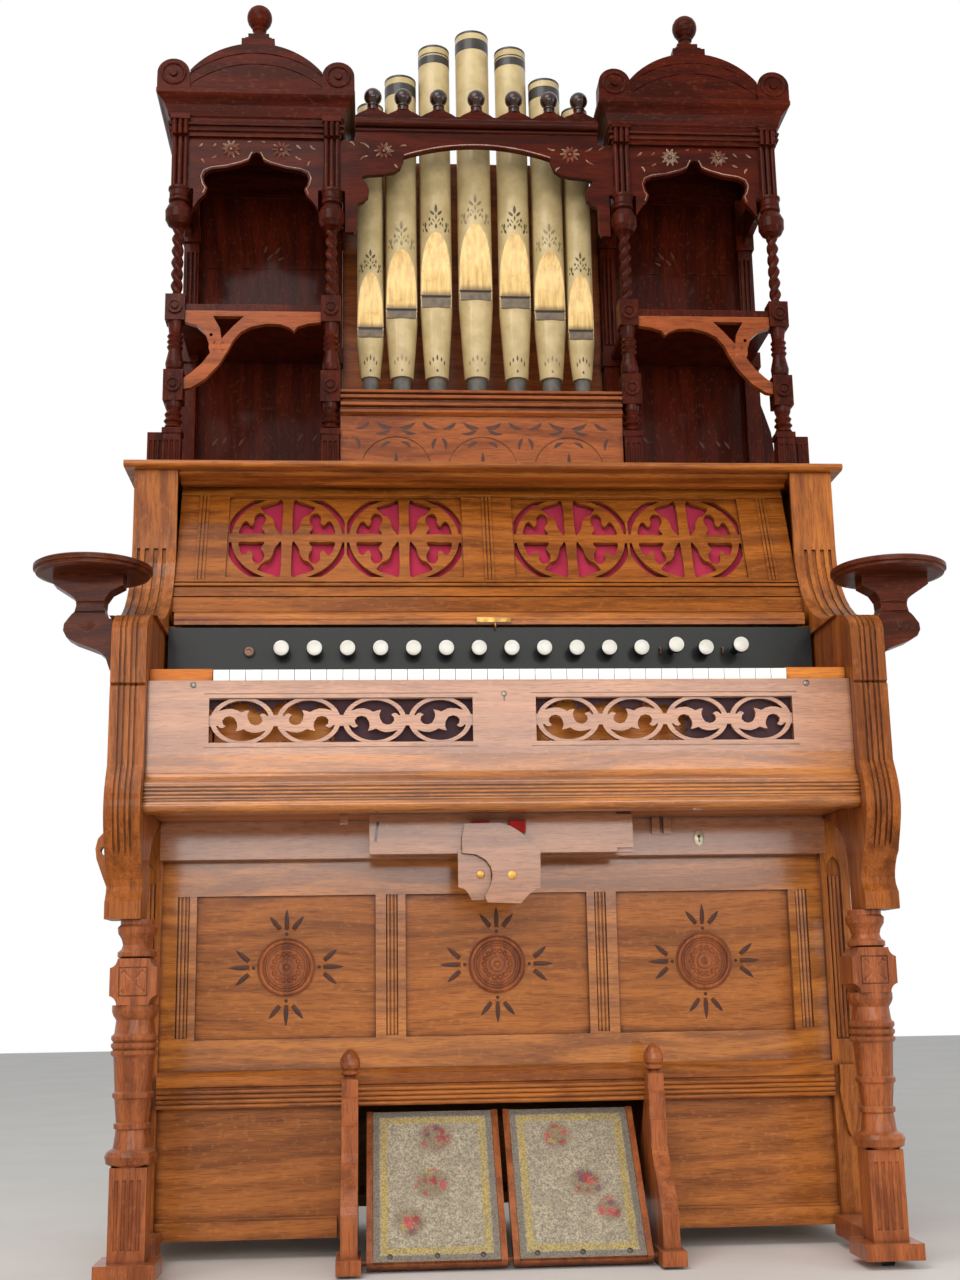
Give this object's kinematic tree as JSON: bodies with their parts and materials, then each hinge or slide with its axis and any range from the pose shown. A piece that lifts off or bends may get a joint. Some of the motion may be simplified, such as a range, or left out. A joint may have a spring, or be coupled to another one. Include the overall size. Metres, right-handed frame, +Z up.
{
  "type": "parlour reed organ with display pipes",
  "caption": "Upright parlour reed organ with keyboard, draw stops, foot pedals, lamp shelves and a high top of display pipes between canopied towers.",
  "frame": {"origin": "centre of the bounding box at floor level", "axes": "+X along the keyboard towards its treble end, +Y from the player's side to the back, +Z up"},
  "size_m": [1.396, 0.62, 2.171],
  "materials": {
    "oak": "gloss varnish",
    "walnut_dark": "gloss varnish",
    "ebony": "satin",
    "ivory": "gloss",
    "knob_face": "gloss",
    "pipe_paint": "satin paint",
    "desk_cloth": "matt",
    "slip_cloth": "matt",
    "pedal": "satin",
    "iron": "dull"
  },
  "bodies": {
    "case": {"tower_columns": "walnut_dark", "tower_boards": "walnut_dark", "tower_brackets": "walnut_dark", "tower_friezes": "walnut_dark", "tower_roofs": "walnut_dark", "centre_frieze": "walnut_dark", "crest": "walnut_dark", "pipe_rack": "walnut_dark", "case_sides": "oak", "case_back": "oak", "case_floor": "oak", "front_frame": "oak", "front_panels": "oak", "front_rosettes": "oak", "lower_moulding": "oak", "base_panels": "oak", "pedal_well": "oak", "leg_strips": "oak", "knee_board": "oak", "key_bed": "oak", "front_moulding": "oak", "key_slip": "oak", "slip_frets": "oak", "key_frame": "oak", "cheeks": "oak", "consoles": "oak", "legs": "oak", "leg_feet": "oak", "lamp_stands": "oak", "case_top": "oak", "music_desk": "oak", "desk_frets": "oak", "pedal_posts": "oak", "slip_cloth": "slip_cloth", "naturals": "ivory", "sharps": "ebony", "stop_board": "ebony", "casters": "iron", "desk_cloth": "desk_cloth", "pipes": "pipe_paint"},
    "fall": {"fallboard": "oak"},
    "knee_lever": {"knee_lever": "oak"},
    "pedal_left": {"pedal_left": "pedal"},
    "pedal_right": {"pedal_right": "pedal"},
    "knob_01": {"knob_01": "knob_face"},
    "knob_02": {"knob_02": "knob_face"},
    "knob_03": {"knob_03": "knob_face"},
    "knob_04": {"knob_04": "knob_face"},
    "knob_05": {"knob_05": "knob_face"},
    "knob_06": {"knob_06": "knob_face"},
    "knob_07": {"knob_07": "knob_face"},
    "knob_08": {"knob_08": "knob_face"},
    "knob_09": {"knob_09": "knob_face"},
    "knob_10": {"knob_10": "knob_face"},
    "knob_11": {"knob_11": "knob_face"},
    "knob_12": {"knob_12": "knob_face"},
    "knob_13": {"knob_13": "knob_face"},
    "knob_14": {"knob_14": "knob_face"},
    "knob_15": {"knob_15": "knob_face"}
  },
  "joints": [
    {"name": "knob_01_draw", "type": "slide", "parent": "case", "child": "knob_01", "axis": [0, -1, 0], "range_m": [0, 0.025]},
    {"name": "knob_02_draw", "type": "slide", "parent": "case", "child": "knob_02", "axis": [0, -1, 0], "range_m": [0, 0.025]},
    {"name": "knob_03_draw", "type": "slide", "parent": "case", "child": "knob_03", "axis": [0, -1, 0], "range_m": [0, 0.025]},
    {"name": "knob_04_draw", "type": "slide", "parent": "case", "child": "knob_04", "axis": [0, -1, 0], "range_m": [0, 0.025]},
    {"name": "knob_05_draw", "type": "slide", "parent": "case", "child": "knob_05", "axis": [0, -1, 0], "range_m": [0, 0.025]},
    {"name": "knob_06_draw", "type": "slide", "parent": "case", "child": "knob_06", "axis": [0, -1, 0], "range_m": [0, 0.025]},
    {"name": "knob_07_draw", "type": "slide", "parent": "case", "child": "knob_07", "axis": [0, -1, 0], "range_m": [0, 0.025]},
    {"name": "knob_08_draw", "type": "slide", "parent": "case", "child": "knob_08", "axis": [0, -1, 0], "range_m": [0, 0.025]},
    {"name": "knob_09_draw", "type": "slide", "parent": "case", "child": "knob_09", "axis": [0, -1, 0], "range_m": [0, 0.025]},
    {"name": "knob_10_draw", "type": "slide", "parent": "case", "child": "knob_10", "axis": [0, -1, 0], "range_m": [0, 0.025]},
    {"name": "knob_11_draw", "type": "slide", "parent": "case", "child": "knob_11", "axis": [0, -1, 0], "range_m": [0, 0.025]},
    {"name": "knob_12_draw", "type": "slide", "parent": "case", "child": "knob_12", "axis": [0, -1, 0], "range_m": [0, 0.025]},
    {"name": "knob_13_draw", "type": "slide", "parent": "case", "child": "knob_13", "axis": [0, -1, 0], "range_m": [-0.02, 0.005]},
    {"name": "knob_14_draw", "type": "slide", "parent": "case", "child": "knob_14", "axis": [0, -1, 0], "range_m": [0, 0.025]},
    {"name": "knob_15_draw", "type": "slide", "parent": "case", "child": "knob_15", "axis": [0, -1, 0], "range_m": [-0.02, 0.005]},
    {"name": "fall_slide", "type": "slide", "parent": "case", "child": "fall", "axis": [0, -1, 0], "range_m": [0, 0.165]},
    {"name": "knee_swing", "type": "hinge", "parent": "case", "child": "knee_lever", "pos_m": [-0.005, -0.19, 0.6], "axis": [0, -1, 0], "range_deg": [0, 20], "stiffness_Nm_per_rad": 1.5, "springref_deg": -8.59},
    {"name": "pedal_left_tread", "type": "hinge", "parent": "case", "child": "pedal_left", "pos_m": [-0.1, -0.184, 0.014], "axis": [-1, 0, 0], "range_deg": [0, 22], "stiffness_Nm_per_rad": 20, "springref_deg": -6.88},
    {"name": "pedal_right_tread", "type": "hinge", "parent": "case", "child": "pedal_right", "pos_m": [0.1, -0.184, 0.014], "axis": [-1, 0, 0], "range_deg": [0, 22], "stiffness_Nm_per_rad": 20, "springref_deg": -6.88}
  ]
}
